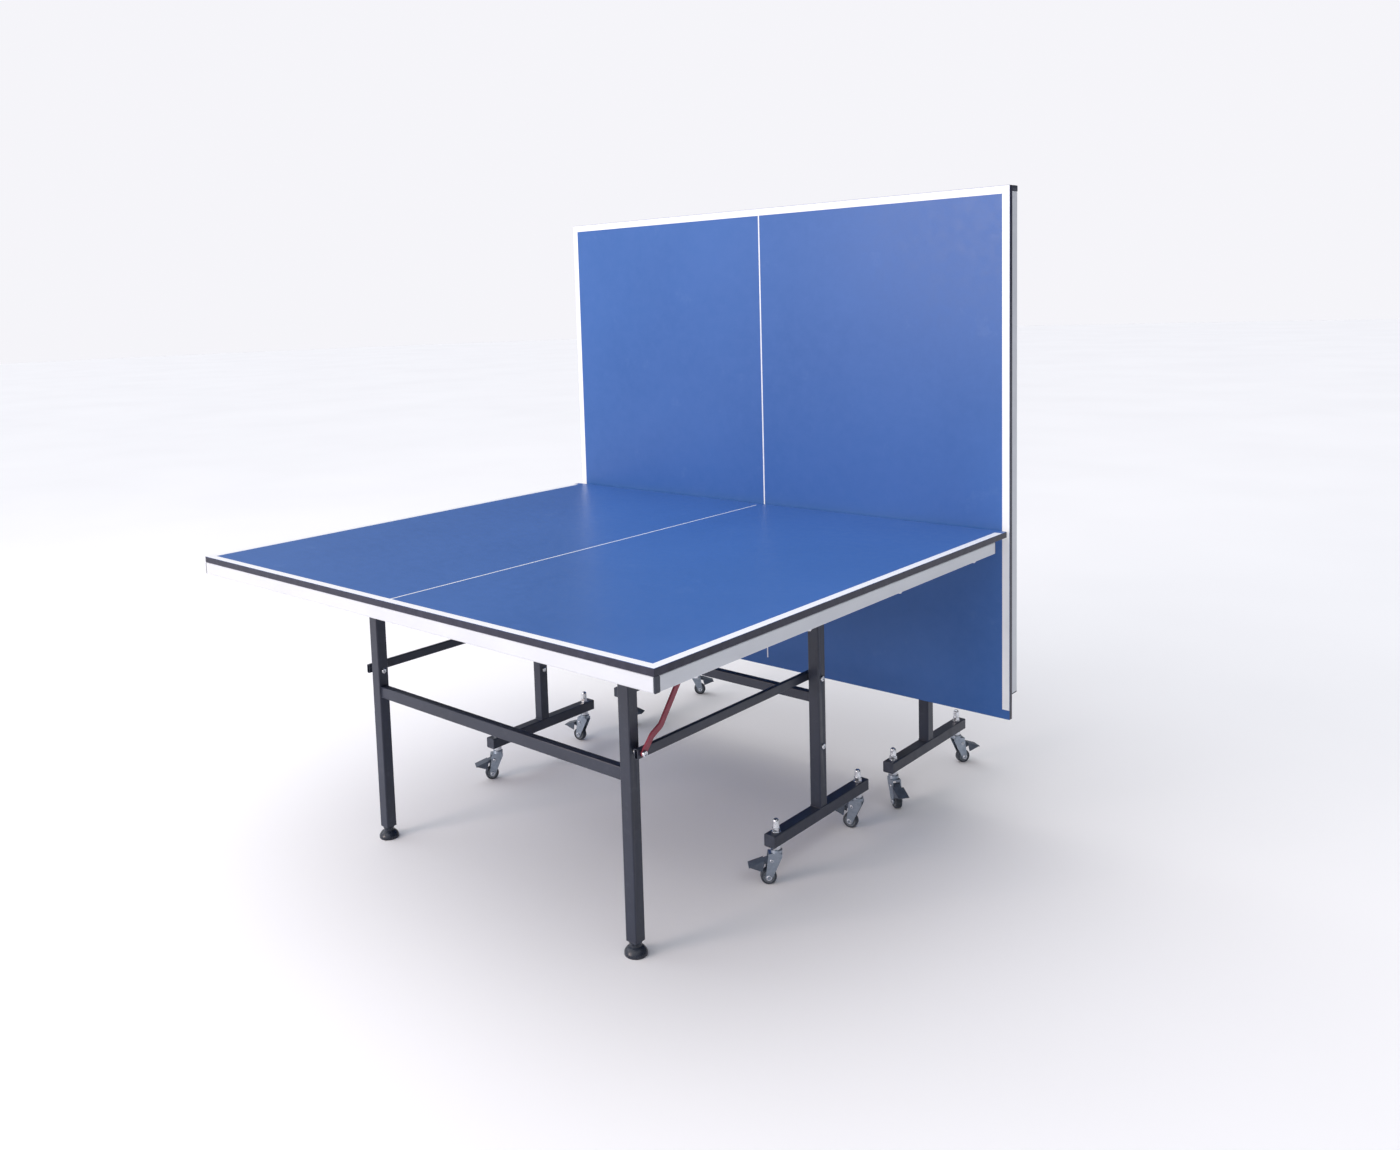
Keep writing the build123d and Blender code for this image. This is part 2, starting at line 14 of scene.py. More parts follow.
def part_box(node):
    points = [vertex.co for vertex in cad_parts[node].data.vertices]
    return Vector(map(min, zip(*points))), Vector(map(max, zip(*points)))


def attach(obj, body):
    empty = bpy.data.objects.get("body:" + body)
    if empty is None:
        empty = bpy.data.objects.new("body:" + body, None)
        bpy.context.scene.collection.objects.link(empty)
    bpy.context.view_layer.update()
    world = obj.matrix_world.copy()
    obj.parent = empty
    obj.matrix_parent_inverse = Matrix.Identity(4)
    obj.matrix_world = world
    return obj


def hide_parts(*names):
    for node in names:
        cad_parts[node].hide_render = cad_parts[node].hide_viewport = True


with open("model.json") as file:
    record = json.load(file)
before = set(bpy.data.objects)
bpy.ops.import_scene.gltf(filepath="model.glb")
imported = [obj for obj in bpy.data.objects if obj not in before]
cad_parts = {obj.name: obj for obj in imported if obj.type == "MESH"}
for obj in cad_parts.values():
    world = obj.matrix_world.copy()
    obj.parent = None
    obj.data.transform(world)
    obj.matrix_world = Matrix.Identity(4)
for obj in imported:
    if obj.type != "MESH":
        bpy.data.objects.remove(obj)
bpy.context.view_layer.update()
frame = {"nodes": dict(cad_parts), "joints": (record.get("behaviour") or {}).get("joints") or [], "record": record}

MM = 0.001
nodes = frame["nodes"]
joints = {joint["name"]: joint for joint in frame["joints"]}
slots = {part["node"]: part["material_slot"] for part in frame["record"]["subparts"]}

# Court lines
LINE_WIDTH = 20 * MM
CENTRE_LINE_WIDTH = 4 * MM
LINE_END_GAP = 25 * MM
PAINT = 0.12 * MM
PAINT_SUNK = 0.05 * MM
LINE_INSET = 0.8 * MM

# Frame and fasteners
TUBE = 30 * MM
SET_BACK = 14 * MM
TROLLEY_BAR = (20 * MM, 25 * MM)
TROLLEY_BAR_LEVEL = 400 * MM
LEG_BAR = (20 * MM, 30 * MM)
LEG_BAR_LEVEL = 395 * MM
WELD_RADIUS = 1.5 * MM
WELD_CORNER = 3 * MM
WELD_RIPPLE = 0.35 * MM
PIN_RADIUS = 4 * MM
HEAD_RADIUS = 7 * MM
HEAD_HEIGHT = 4 * MM
SPACER_MAX = 12 * MM
SCREW_RADIUS = 5.5 * MM
SCREW_HEIGHT = 3.6 * MM
RAIL_SCREW_SHARES = (-0.44, -0.16, 0.16, 0.44)
APRON_SCREW_SHARES = (-0.42, -0.14, 0.14, 0.42)

# Casters
WHEEL_RADIUS = 19 * MM
WHEEL_WIDTH = 17 * MM
TYRE_DEPTH = 5 * MM
HUB_DISH = 2.5 * MM
HUB_BOSS = 6 * MM
HUB_RIM = 1.2 * MM
HUB_RIM_RISE = 1.6 * MM
BORE_LIP = 0.3 * MM
RIB_COUNT = 6
RIB_SIZE = 1.8 * MM
TYRE_SHOULDER = 3 * MM
TYRE_GROOVE = 0.5 * MM
AXLE_RADIUS = 3 * MM
AXLE_HALF_LENGTH = 14.5 * MM
AXLE_CAP_RADIUS = 6.4 * MM
PEDAL_CAP_RADIUS = 4.4 * MM
CAP_HEIGHT = 2.6 * MM
CAP_OVERLAP = 2.2 * MM
NUT_WIDTH_MIN = 16 * MM
NUT_HEIGHT_MAX = 40 * MM
WASHER_RADIUS = 11 * MM
WASHER_THICKNESS = 1.2 * MM

# How close two levels must be to count as one
TOUCH = 0.01 * MM

# Where the camera stands, from the net edge of the flat half
CAMERA_FROM_NET = Vector((2.024, -2.799, 1.379))
CAMERA_HEADING = radians(42.88)
CAMERA_DOWN = radians(5.88)
CAMERA_ROLL = radians(-1.96)
CAMERA_LENS = 29.93
CAMERA_SHIFT = (0.0593, -0.1107)

# Where the soft light comes from, how it falls off to the far side, and the backdrop's brightness
LIGHT_FROM = (-0.28, -0.42, 0.86)
LIGHT_SPREAD = (0.10, 0.95, 0.10, 1.68)
BACKDROP = 0.95


# Node helpers

class Finish:
    """A material under construction: one Principled shader and the nodes that feed it."""

    def __init__(self, name, **constants):
        self.material = bpy.data.materials.new(name)
        self.material.use_nodes = True
        self.tree = self.material.node_tree
        self.shader = self.tree.nodes["Principled BSDF"]
        self.place = self.add("ShaderNodeTexCoord").outputs["Object"]
        for socket, value in constants.items():
            self.shader.inputs[socket.replace("_", " ")].default_value = value

    def add(self, kind, **settings):
        node = self.tree.nodes.new(kind)
        for key, value in settings.items():
            setattr(node, key, value)
        return node

    def link(self, source, target):
        self.tree.links.new(source, target)

    def noise(self, per_metre, detail=3.0, roughness=0.55, stretch=(1, 1, 1)):
        """Soft noise with so many features in a metre, stretched along axes whose stretch is small."""
        mapping = self.add("ShaderNodeMapping")
        mapping.inputs["Scale"].default_value = stretch
        self.link(self.place, mapping.inputs["Vector"])
        texture = self.add("ShaderNodeTexNoise")
        texture.inputs["Scale"].default_value = per_metre
        texture.inputs["Detail"].default_value = detail
        texture.inputs["Roughness"].default_value = roughness
        self.link(mapping.outputs["Vector"], texture.inputs["Vector"])
        return texture.outputs["Fac"]

    def grains(self, per_metre):
        """Distance to the nearest of many scattered points, for grain and pitting."""
        texture = self.add("ShaderNodeTexVoronoi")
        texture.inputs["Scale"].default_value = per_metre
        self.link(self.place, texture.inputs["Vector"])
        return texture.outputs["Distance"]

    def levels(self, value, low, high, out_low=0.0, out_high=1.0):
        """The value from low to high, remapped and clamped."""
        node = self.add("ShaderNodeMapRange")
        self.link(value, node.inputs["Value"])
        numbers = {"From Min": low, "From Max": high, "To Min": out_low, "To Max": out_high}
        for socket, number in numbers.items():
            node.inputs[socket].default_value = number
        return node.outputs["Result"]

    def combine(self, *values, operation="ADD"):
        """Values added together, or put through another operation, from left to right."""
        total = values[0]
        for value in values[1:]:
            node = self.add("ShaderNodeMath", operation=operation)
            self.link(total, node.inputs[0])
            if isinstance(value, (int, float)):
                node.inputs[1].default_value = value
            else:
                self.link(value, node.inputs[1])
            total = node.outputs["Value"]
        return total

    def mix(self, share, first, second):
        """Colour between two others; each is a colour or the output of a node."""
        node = self.add("ShaderNodeMix", data_type="RGBA")
        self.link(share, node.inputs["Factor"])
        for socket, colour in ((node.inputs[6], first), (node.inputs[7], second)):
            if isinstance(colour, tuple):
                socket.default_value = (*colour, 1.0)
            else:
                self.link(colour, socket)
        return node.outputs[2]

    def facing(self, direction):
        """How far the piece's own surface faces a direction, from -1 to 1."""
        normal = self.add("ShaderNodeTexCoord").outputs["Normal"]
        node = self.add("ShaderNodeVectorMath", operation="DOT_PRODUCT")
        node.inputs[1].default_value = direction
        self.link(normal, node.inputs[0])
        return node.outputs["Value"]

    def edges(self, radius):
        """1 along sharp outer edges and 0 on flat faces."""
        bevel = self.add("ShaderNodeBevel", samples=4)
        bevel.inputs["Radius"].default_value = radius
        normal = self.add("ShaderNodeNewGeometry").outputs["Normal"]
        node = self.add("ShaderNodeVectorMath", operation="DOT_PRODUCT")
        self.link(bevel.outputs["Normal"], node.inputs[0])
        self.link(normal, node.inputs[1])
        return self.levels(node.outputs["Value"], 0.99, 0.86)

    def bump(self, *layers):
        """Relief from (height, distance) layers, the coarse one first."""
        normal = None
        for height, distance in layers:
            node = self.add("ShaderNodeBump")
            node.inputs["Distance"].default_value = distance
            self.link(height, node.inputs["Height"])
            if normal is not None:
                self.link(normal, node.inputs["Normal"])
            normal = node.outputs["Normal"]
        self.link(normal, self.shader.inputs["Normal"])

    def paint(self, colour):
        self.link(colour, self.shader.inputs["Base Color"])

    def gloss(self, value):
        self.link(value, self.shader.inputs["Roughness"])


# Finishes

def board_lacquer(name, playing_side):
    """Rolled blue lacquer on the playing face, and a dark sealed edge and underside."""
    f = Finish(name, Specular_IOR_Level=0.30)
    clouds = f.noise(2.2, detail=2.0)
    mottle = f.noise(38, detail=5.0, roughness=0.62)
    face = f.mix(f.levels(clouds, 0.3, 0.7), (0.038, 0.122, 0.372), (0.047, 0.139, 0.410))
    face = f.mix(f.levels(mottle, 0.35, 0.75, 0.0, 0.35), face, (0.062, 0.152, 0.440))
    ball_marks = f.levels(f.noise(9, detail=6.0, roughness=0.7), 0.62, 0.72, 0.0, 0.12)
    face = f.mix(ball_marks, face, (0.16, 0.26, 0.52))
    edge = f.mix(f.levels(f.noise(60), 0.3, 0.7), (0.016, 0.018, 0.036), (0.028, 0.030, 0.055))
    fibres = f.noise(260, detail=6.0, roughness=0.7)
    back = f.mix(f.levels(clouds, 0.3, 0.7), (0.030, 0.042, 0.092), (0.040, 0.054, 0.112))
    back = f.mix(f.levels(fibres, 0.5, 0.75, 0.0, 0.4), back, (0.075, 0.090, 0.150))
    side = f.facing(playing_side)
    below = f.mix(f.levels(side, -0.55, -0.75), edge, back)
    f.paint(f.mix(f.levels(side, 0.55, 0.75), below, face))
    grain = f.noise(700, detail=2.0)
    sheen = f.levels(mottle, 0.3, 0.7, 0.30, 0.37)
    f.gloss(f.combine(sheen, f.levels(grain, 0.3, 0.7, 0.0, 0.05)))
    f.bump((f.noise(120, detail=2.0), 0.05 * MM), (grain, 0.02 * MM))
    return f.material


def line_paint():
    """White screened paint, a little thinner in places."""
    f = Finish("white_line_paint", Specular_IOR_Level=0.4)
    worn = f.levels(f.noise(90, detail=6.0, roughness=0.7), 0.60, 0.80, 0.0, 0.3)
    f.paint(f.mix(worn, (0.92, 0.93, 0.95), (0.66, 0.71, 0.84)))
    f.gloss(f.levels(f.noise(300), 0.3, 0.7, 0.34, 0.46))
    f.bump((f.noise(900, detail=2.0), 0.02 * MM))
    return f.material


def powder_coat(name, base, tint, worn, roughness, edge_share):
    """Sprayed and baked powder on steel: orange peel, dust in the hollows, rubbed edges."""
    f = Finish(name, Specular_IOR_Level=0.5)
    tone = f.mix(f.levels(f.noise(6, detail=4.0), 0.3, 0.7), base, tint)
    dust = f.levels(f.noise(45, detail=6.0, roughness=0.7), 0.55, 0.8, 0.0, 0.18)
    tone = f.mix(dust, tone, worn)
    patches = f.levels(f.noise(240, detail=4.0), 0.5, 0.65)
    rubbed = f.combine(f.edges(1.2 * MM), patches, edge_share, operation="MULTIPLY")
    f.paint(f.mix(rubbed, tone, worn))
    peel = f.noise(520, detail=2.0)
    sheen = f.levels(f.noise(30), 0.3, 0.7, roughness, roughness + 0.10)
    f.gloss(f.combine(sheen, f.levels(peel, 0.3, 0.7, 0, 0.06)))
    f.bump((peel, 0.10 * MM), (f.noise(1700, detail=2.0), 0.02 * MM))
    return f.material


def moulding(name, base, tint, roughness):
    """Injection-moulded plastic with a fine spark-eroded grain and paler rubbed edges."""
    f = Finish(name, Specular_IOR_Level=0.45)
    tone = f.mix(f.levels(f.noise(80, detail=4.0), 0.35, 0.7), base, tint)
    pale = tuple(min(1.0, 1.9 * c + 0.02) for c in tint)
    patches = f.levels(f.noise(400), 0.45, 0.65)
    rubbed = f.combine(f.edges(0.8 * MM), patches, 0.55, operation="MULTIPLY")
    f.paint(f.mix(rubbed, tone, pale))
    f.gloss(f.levels(f.noise(150, detail=4.0), 0.3, 0.7, roughness, roughness + 0.14))
    f.bump((f.grains(1500), 0.06 * MM), (f.noise(2600), 0.02 * MM))
    return f.material


def plated(name, base, tint, roughness, lines):
    """Zinc or chrome plate: fine draw lines, cloudy passivation and a painted highlight along every edge."""
    f = Finish(name, Metallic=1.0)
    clouds = f.noise(110, detail=5.0, roughness=0.65)
    tone = f.mix(f.levels(clouds, 0.3, 0.72), base, tint)
    # Painted highlight: a paler colour laid evenly along every edge, standing in for edges that catch the light
    painted_edge_highlight = tuple(min(1.0, 1.25 * c + 0.08) for c in base)
    f.paint(f.mix(f.combine(f.edges(0.5 * MM), 0.6, operation="MULTIPLY"), tone, painted_edge_highlight))
    drawn = f.noise(900, detail=3.0, stretch=lines)
    sheen = f.levels(clouds, 0.3, 0.7, roughness, roughness + 0.12)
    f.gloss(f.combine(sheen, f.levels(drawn, 0.3, 0.7, 0.0, 0.08)))
    f.bump((drawn, 0.015 * MM), (f.noise(350, detail=3.0), 0.03 * MM))
    return f.material


def tyre_rubber():
    """Dark caster tyre with floor dust on its shoulders and fine scuffs."""
    f = Finish("caster_tyre_rubber", Specular_IOR_Level=0.35)
    mottle = f.levels(f.noise(120, detail=5.0), 0.3, 0.7)
    tone = f.mix(mottle, (0.030, 0.038, 0.052), (0.055, 0.066, 0.086))
    dust = f.levels(f.noise(260, detail=7.0, roughness=0.75), 0.52, 0.74, 0.0, 0.45)
    f.paint(f.mix(dust, tone, (0.20, 0.20, 0.20)))
    f.gloss(f.levels(f.noise(400), 0.3, 0.7, 0.55, 0.75))
    f.bump((f.noise(900, detail=5.0), 0.08 * MM))
    return f.material


def red_coating():
    """Dip-coated red vinyl on the lock hook, darker in its wear marks."""
    f = Finish("red_vinyl_coating", Specular_IOR_Level=0.45)
    mottle = f.levels(f.noise(35, detail=5.0), 0.3, 0.7)
    tone = f.mix(mottle, (0.260, 0.035, 0.060), (0.335, 0.060, 0.090))
    patches = f.levels(f.noise(300, detail=4.0), 0.45, 0.62)
    rubbed = f.combine(f.edges(0.9 * MM), patches, 0.7, operation="MULTIPLY")
    f.paint(f.mix(rubbed, tone, (0.52, 0.22, 0.26)))
    f.gloss(f.levels(f.noise(140), 0.3, 0.7, 0.34, 0.50))
    f.bump((f.noise(420, detail=3.0), 0.10 * MM))
    return f.material


def pale_floor():
    """Matt, nearly even studio floor."""
    f = Finish("pale_studio_floor", Roughness=0.9)
    clouds = f.levels(f.noise(0.7, detail=2.0), 0.3, 0.7)
    f.paint(f.mix(clouds, (0.92, 0.92, 0.94), (0.95, 0.95, 0.97)))
    return f.material


NEAR_FACE = (0, 0, 1)
FAR_FACE = (0, -1, 0)
near_lacquer = board_lacquer("near_board_lacquer", NEAR_FACE)
far_lacquer = board_lacquer("far_board_lacquer", FAR_FACE)
finishes = {
    "white_steel": powder_coat(
        "white_powder_coat", base=(0.64, 0.67, 0.72), tint=(0.60, 0.625, 0.68),
        worn=(0.52, 0.53, 0.56), roughness=0.34, edge_share=0.35),
    "frame_steel": powder_coat(
        "charcoal_powder_coat", base=(0.017, 0.022, 0.040), tint=(0.024, 0.031, 0.055),
        worn=(0.13, 0.14, 0.17), roughness=0.30, edge_share=0.60),
    "black_plastic": moulding(
        "black_plug_moulding", base=(0.030, 0.037, 0.058), tint=(0.044, 0.052, 0.078), roughness=0.38),
    "chrome": plated(
        "bright_zinc_plate", base=(0.72, 0.74, 0.78), tint=(0.60, 0.62, 0.66),
        roughness=0.14, lines=(1, 1, 0.1)),
    "zinc_steel": plated(
        "blue_zinc_plate", base=(0.40, 0.45, 0.52), tint=(0.28, 0.33, 0.40),
        roughness=0.28, lines=(1, 1, 0.15)),
    "tyre": tyre_rubber(),
    "grey_plastic": moulding(
        "grey_pedal_moulding", base=(0.060, 0.078, 0.110), tint=(0.085, 0.108, 0.145), roughness=0.36),
    "foot_rubber": moulding(
        "levelling_foot_moulding", base=(0.016, 0.021, 0.034), tint=(0.026, 0.033, 0.050), roughness=0.20),
    "red_steel": red_coating(),
    "hub_plastic": moulding(
        "caster_hub_moulding", base=(0.16, 0.18, 0.21), tint=(0.21, 0.23, 0.26), roughness=0.36),
}
white_line = line_paint()


def finish_for(node):
    """The finish of a CAD node; the two boards face different ways, so each has its own."""
    if slots[node] == "blue_board":
        return near_lacquer if node.startswith("near") else far_lacquer
    return finishes[slots[node]]


# Mesh helpers

def deselect():
    bpy.ops.object.select_all(action="DESELECT")


def only(piece):
    deselect()
    piece.select_set(True)
    bpy.context.view_layer.objects.active = piece


def bake_place(piece):
    """Leaves the piece's place in its mesh and its object at the origin."""
    only(piece)
    bpy.ops.object.transform_apply(location=True, rotation=True, scale=True)


def named(piece, name, finish):
    piece.name = name
    piece.data.name = name
    piece.data.materials.clear()
    piece.data.materials.append(finish)
    return piece


def joined(pieces, name, finish):
    """Several modelled pieces as one object, which keeps their separate shells."""
    deselect()
    for piece in pieces:
        piece.select_set(True)
    bpy.context.view_layer.objects.active = pieces[0]
    if len(pieces) > 1:
        bpy.ops.object.join()
    return named(bpy.context.object, name, finish)


def copied(piece, matrix):
    """A copy of a piece with its own mesh, placed by a matrix."""
    twin = piece.copy()
    twin.data = piece.data.copy()
    twin.data.transform(matrix)
    bpy.context.scene.collection.objects.link(twin)
    return twin


def smooth(piece, angle=40):
    only(piece)
    bpy.ops.object.shade_smooth_by_angle(angle=radians(angle))


def ride(piece, body):
    """Hangs a piece on a moving body."""
    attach(piece, body)
    return piece


def shells(node):
    """Boxes of the separate solids in a CAD node, as (lowest, highest) corners, from left to right."""
    mesh = bmesh.new()
    mesh.from_mesh(nodes[node].data)
    bmesh.ops.remove_doubles(mesh, verts=mesh.verts, dist=0.001 * MM)
    found = []
    unseen = set(mesh.verts)
    while unseen:
        patch = [unseen.pop()]
        points = []
        while patch:
            vertex = patch.pop()
            points.append(vertex.co.copy())
            for edge in vertex.link_edges:
                other = edge.other_vert(vertex)
                if other in unseen:
                    unseen.remove(other)
                    patch.append(other)
        low = Vector(min(point[axis] for point in points) for axis in range(3))
        high = Vector(max(point[axis] for point in points) for axis in range(3))
        found.append((low, high))
    mesh.free()
    return sorted(found, key=lambda box: (round(box[0].x, 4), round(box[0].y, 4), round(box[0].z, 4)))


def eased(node, width, segments=2, angle=35):
    """Live bevels on a CAD node, so that its edges catch the light as a formed or sanded edge does."""
    piece = nodes[node]
    weld = piece.modifiers.new("weld", "WELD")
    weld.merge_threshold = 0.002 * MM
    flat = piece.modifiers.new("flat", "DECIMATE")
    flat.decimate_type = "DISSOLVE"
    flat.angle_limit = radians(0.5)
    bevel = piece.modifiers.new("bevel", "BEVEL")
    bevel.limit_method = "ANGLE"
    bevel.angle_limit = radians(angle)
    bevel.width = width
    bevel.segments = segments
    bevel.use_clamp_overlap = True


# Court lines

def paint_strip(low, high):
    """One flat strip of paint between two corners, with its long edges rounded off."""
    deselect()
    bpy.ops.mesh.primitive_cube_add(size=1, location=(low + high) / 2)
    strip = bpy.context.object
    strip.scale = high - low
    bake_place(strip)
    bpy.ops.object.mode_set(mode="EDIT")
    bpy.ops.mesh.select_all(action="SELECT")
    bpy.ops.mesh.bevel(offset=PAINT / 3, offset_type="OFFSET", segments=1, affect="EDGES")
    bpy.ops.object.mode_set(mode="OBJECT")
    return strip


def court_lines(half):
    """Baseline, two side lines and the centre line, laid on the playing face of one half."""
    low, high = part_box(f"{half}_board")
    if half == "near":
        length = high.y - low.y
        paint_level = high.z

        def strip(x0, x1, from_end, to_end):
            corner = Vector((x0, low.y + from_end, paint_level - PAINT_SUNK))
            return paint_strip(corner, Vector((x1, low.y + to_end, paint_level + PAINT)))
    else:
        length = high.z - low.z
        paint_level = low.y

        def strip(x0, x1, from_end, to_end):
            corner = Vector((x0, paint_level - PAINT, high.z - to_end))
            return paint_strip(corner, Vector((x1, paint_level + PAINT_SUNK, high.z - from_end)))

    stop = length - LINE_END_GAP
    strips = [
        strip(low.x + LINE_INSET, high.x - LINE_INSET, LINE_INSET, LINE_WIDTH),
        strip(low.x + LINE_INSET, low.x + LINE_WIDTH, LINE_WIDTH, stop),
        strip(high.x - LINE_WIDTH, high.x - LINE_INSET, LINE_WIDTH, stop),
        strip(-CENTRE_LINE_WIDTH / 2, CENTRE_LINE_WIDTH / 2, LINE_WIDTH, stop),
    ]
    ride(joined(strips, f"{half}_court_lines", white_line), f"{half}_top")


# Fasteners

def cylinder(radius, depth, base, vertices=32):
    """Upright cylinder that stands on a base level, in object mode, as a blank to model on."""
    deselect()
    middle = (0, 0, base + depth / 2)
    bpy.ops.mesh.primitive_cylinder_add(vertices=vertices, radius=radius, depth=depth, location=middle)
    piece = bpy.context.object
    bake_place(piece)
    return piece


def pick_faces(piece, wanted):
    """Selects the faces that a test accepts and leaves the piece in edit mode."""
    only(piece)
    bpy.ops.object.mode_set(mode="EDIT")
    bpy.ops.mesh.select_mode(type="FACE")
    bpy.ops.mesh.select_all(action="DESELECT")
    bpy.ops.object.mode_set(mode="OBJECT")
    for polygon in piece.data.polygons:
        polygon.select = wanted(polygon)
    bpy.ops.object.mode_set(mode="EDIT")


def pick_edges(piece, wanted):
    """Selects the edges whose two ends a test accepts and leaves the piece in edit mode."""
    only(piece)
    bpy.ops.object.mode_set(mode="EDIT")
    bpy.ops.mesh.select_mode(type="EDGE")
    bpy.ops.mesh.select_all(action="DESELECT")
    bpy.ops.object.mode_set(mode="OBJECT")
    points = piece.data.vertices
    for edge in piece.data.edges:
        edge.select = wanted(points[edge.vertices[0]].co, points[edge.vertices[1]].co)
    bpy.ops.object.mode_set(mode="EDIT")


def leave_edit():
    bpy.ops.object.mode_set(mode="OBJECT")


def sunk(depth):
    """Pushes the selected faces in by a depth, or out if it is negative."""
    bpy.ops.mesh.extrude_region_shrink_fatten(TRANSFORM_OT_shrink_fatten={"value": -depth})


def is_top(level):
    """A test for the flat faces at a level that look up."""
    return lambda polygon: polygon.normal.z > 0.9 and abs(polygon.center.z - level) < TOUCH


def button_head(radius, height):
    """Domed bolt head on z = 0, with a round recess in its top."""
    head = cylinder(radius, height, 0)
    pick_edges(head, lambda a, b: min(a.z, b.z) > height - TOUCH)
    bpy.ops.mesh.bevel(offset=height * 0.62, segments=4, profile=0.6, affect="EDGES")
    leave_edit()
    pick_faces(head, is_top(height))
    bpy.ops.mesh.inset(thickness=radius * 0.08)
    sunk(height * 0.45)
    leave_edit()
    smooth(head)
    return head


def hex_nut(radius, height):
    """Lock nut on z = 0: a hexagon with chamfered corners and a round collar."""
    nut = cylinder(radius, height * 0.72, 0, vertices=6)
    only(nut)
    bpy.ops.object.mode_set(mode="EDIT")
    bpy.ops.mesh.select_all(action="SELECT")
    bpy.ops.mesh.bevel(offset=radius * 0.08, segments=2, affect="EDGES")
    leave_edit()
    collar = cylinder(radius * 0.72, height, 0, vertices=24)
    pick_edges(collar, lambda a, b: min(a.z, b.z) > height - TOUCH)
    bpy.ops.mesh.bevel(offset=height * 0.16, segments=3, affect="EDGES")
    leave_edit()
    pick_faces(collar, is_top(height))
    bpy.ops.mesh.inset(thickness=radius * 0.22)
    sunk(height * 0.25)
    leave_edit()
    both = joined([nut, collar], "hex_nut", finishes["chrome"])
    smooth(both)
    return both


def flange_screw(radius, height):
    """Hex screw head on z = 0 with its washer formed on."""
    washer = cylinder(radius, height * 0.3, 0, vertices=28)
    pick_edges(washer, lambda a, b: min(a.z, b.z) > height * 0.29)
    bpy.ops.mesh.bevel(offset=height * 0.12, segments=2, affect="EDGES")
    leave_edit()
    head = cylinder(radius * 0.74, height * 0.75, height * 0.25, vertices=6)
    pick_edges(head, lambda a, b: max(a.z, b.z) > height * 0.99)
    bpy.ops.mesh.bevel(offset=height * 0.12, segments=2, affect="EDGES")
    leave_edit()
    pick_faces(head, is_top(height))
    bpy.ops.mesh.inset(thickness=radius * 0.16)
    sunk(height * 0.10)
    leave_edit()
    screw = joined([washer, head], "flange_screw", finishes["chrome"])
    smooth(screw)
    return screw


def along(direction):
    """The turn that takes z onto a direction."""
    return Vector(direction).to_track_quat("Z", "Y").to_matrix().to_4x4()


def bolt_set(half, group, body):
    """Every pin, bolt and spacer of a group, with domed heads, lock nuts and plain shanks along x."""
    node = f"{half}_{group}"
    pieces = []
    for low, high in shells(node):
        middle = (low + high) / 2
        radius = (high.y - low.y) / 2
        length = high.x - low.x
        place = Matrix.Translation(middle)
        if length < SPACER_MAX:
            sleeve = cylinder(radius, length, -length / 2)
            pick_edges(sleeve, lambda a, b: abs(a.z - b.z) < TOUCH)
            bpy.ops.mesh.bevel(offset=0.5 * MM, segments=2, affect="EDGES")
            leave_edit()
            smooth(sleeve)
            pieces.append(copied(sleeve, place @ along((1, 0, 0))))
            bpy.data.objects.remove(sleeve)
            continue
        outward = 1 if middle.x > 0 else -1
        shank = cylinder(PIN_RADIUS, length - 2 * HEAD_HEIGHT, -length / 2 + HEAD_HEIGHT)
        smooth(shank)
        pieces.append(copied(shank, place @ along((1, 0, 0))))
        bpy.data.objects.remove(shank)
        half_length = length / 2 - HEAD_HEIGHT
        reach = Vector((outward * half_length, 0, 0))
        outer = Matrix.Translation(middle + reach) @ along((outward, 0, 0))
        inner = Matrix.Translation(middle - reach) @ along((-outward, 0, 0))
        pieces.append(copied(master_head, outer))
        pieces.append(copied(master_nut, inner))
    bolts = joined(pieces, f"{half}_{group}_set", finishes["chrome"])
    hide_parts(node)
    ride(bolts, body)


# Welds

def weld_loop(width, height, name):
    """Rippled bead around the end of a tube, in the xy plane."""
    deselect()
    bpy.ops.mesh.primitive_plane_add(size=1)
    loop = bpy.context.object
    loop.scale = (width, height, 1)
    bake_place(loop)
    bpy.ops.object.mode_set(mode="EDIT")
    bpy.ops.mesh.select_all(action="SELECT")
    bpy.ops.mesh.bevel(offset=WELD_CORNER, segments=3, affect="VERTICES")
    bpy.ops.mesh.select_all(action="SELECT")
    bpy.ops.mesh.delete(type="ONLY_FACE")
    bpy.ops.mesh.select_all(action="SELECT")
    bpy.ops.mesh.subdivide(number_cuts=5)
    leave_edit()
    bpy.ops.object.convert(target="CURVE")
    loop.data.bevel_depth = WELD_RADIUS
    loop.data.bevel_resolution = 2
    bpy.ops.object.convert(target="MESH")
    bpy.ops.object.mode_set(mode="EDIT")
    bpy.ops.mesh.select_all(action="SELECT")
    bpy.ops.transform.vertex_random(offset=WELD_RIPPLE, seed=5)
    leave_edit()
    loop = bpy.context.object
    loop.name = name
    smooth(loop, 80)
    return loop


